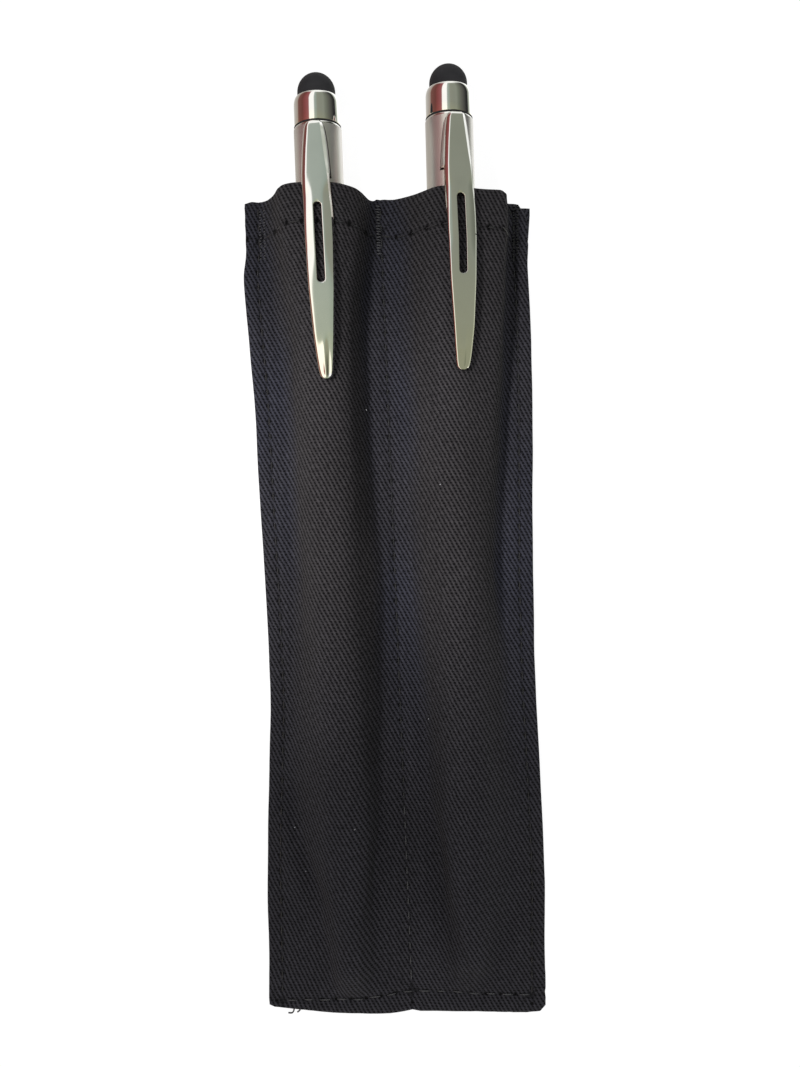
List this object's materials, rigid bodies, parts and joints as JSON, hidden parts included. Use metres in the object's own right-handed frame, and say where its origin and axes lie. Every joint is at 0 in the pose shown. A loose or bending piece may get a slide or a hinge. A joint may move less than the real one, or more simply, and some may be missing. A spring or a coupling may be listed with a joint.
{
  "type": "pen pouch",
  "caption": "Flat twill pouch with sewn pockets, holding slim twist-action stylus pens clipped over its front panel.",
  "frame": {"origin": "centre of the bounding box at the back panel's flat underside", "axes": "+Y from the pouch's closed end to its mouth and the pens' stylus tips, +Z from the back panel to the front panel, +X to the right seen from the front"},
  "size_m": [0.0493, 0.1534, 0.0107],
  "materials": {
    "twill": "fine black twill",
    "thread": "close black thread",
    "stylus_rubber": "matt conductive rubber",
    "bright_chrome": "polished plating",
    "satin_metal": "fine satin plating",
    "inner_plastic": "moulded",
    "brass": "turned brass"
  },
  "bodies": {
    "pouch": {"front_panel": "twill", "back_panel": "twill", "bar_tack_left": "thread", "bar_tack_centre": "thread", "bar_tack_right": "thread"},
    "pen_left": {"upper_barrel_left": "satin_metal", "stylus_collar_left": "bright_chrome", "stylus_tip_left": "stylus_rubber", "tip_core_left": "inner_plastic", "centre_ring_left": "bright_chrome", "cam_sleeve_left": "brass"},
    "pen_right": {"upper_barrel_right": "satin_metal", "stylus_collar_right": "bright_chrome", "stylus_tip_right": "stylus_rubber", "tip_core_right": "inner_plastic", "centre_ring_right": "bright_chrome", "cam_sleeve_right": "brass"},
    "clip_left": {"clip_left": "bright_chrome"},
    "clip_right": {"clip_right": "bright_chrome"},
    "lower_half_left": {"lower_barrel_left": "satin_metal", "nose_cone_left": "bright_chrome", "drive_tube_left": "brass"},
    "lower_half_right": {"lower_barrel_right": "satin_metal", "nose_cone_right": "bright_chrome", "drive_tube_right": "brass"},
    "refill_left": {"refill_tube_left": "satin_metal", "refill_point_left": "brass", "cam_follower_left": "inner_plastic"},
    "refill_right": {"refill_tube_right": "satin_metal", "refill_point_right": "brass", "cam_follower_right": "inner_plastic"}
  },
  "joints": [
    {"name": "pen_slide_left", "type": "slide", "parent": "pouch", "child": "pen_left", "axis": [-0.0384, 0.9993, 0], "range_m": [0, 0.122]},
    {"name": "pen_slide_right", "type": "slide", "parent": "pouch", "child": "pen_right", "axis": [-0.025, 0.9997, 0], "range_m": [0, 0.122]},
    {"name": "clip_flex_left", "type": "hinge", "parent": "pen_left", "child": "clip_left", "pos_m": [-0.01242, 0.06226, 0.0084], "axis": [-0.9991, -0.0384, -0.0175], "range_deg": [0, 6], "stiffness_Nm_per_rad": 0.06},
    {"name": "clip_flex_right", "type": "hinge", "parent": "pen_right", "child": "clip_right", "pos_m": [0.00928, 0.06367, 0.00836], "axis": [-0.99, -0.0247, 0.1392], "range_deg": [0, 6], "stiffness_Nm_per_rad": 0.06},
    {"name": "twist_left", "type": "hinge", "parent": "pen_left", "child": "lower_half_left", "pos_m": [-0.01004, 0.0019, 0.0048], "axis": [-0.0384, 0.9993, 0], "range_deg": [0, 180]},
    {"name": "twist_right", "type": "hinge", "parent": "pen_right", "child": "lower_half_right", "pos_m": [0.01028, 0.00327, 0.0048], "axis": [-0.025, 0.9997, 0], "range_deg": [0, 180]},
    {"name": "refill_left", "type": "slide", "parent": "lower_half_left", "child": "refill_left", "axis": [0.0384, -0.9993, 0], "range_m": [0, 0.005]},
    {"name": "refill_right", "type": "slide", "parent": "lower_half_right", "child": "refill_right", "axis": [0.025, -0.9997, 0], "range_m": [0, 0.005]}
  ],
  "couplings": [
    {"joint": "refill_left", "follows": "twist_left", "m_per_rad": 0.0015915},
    {"joint": "refill_right", "follows": "twist_right", "m_per_rad": 0.0015915}
  ]
}
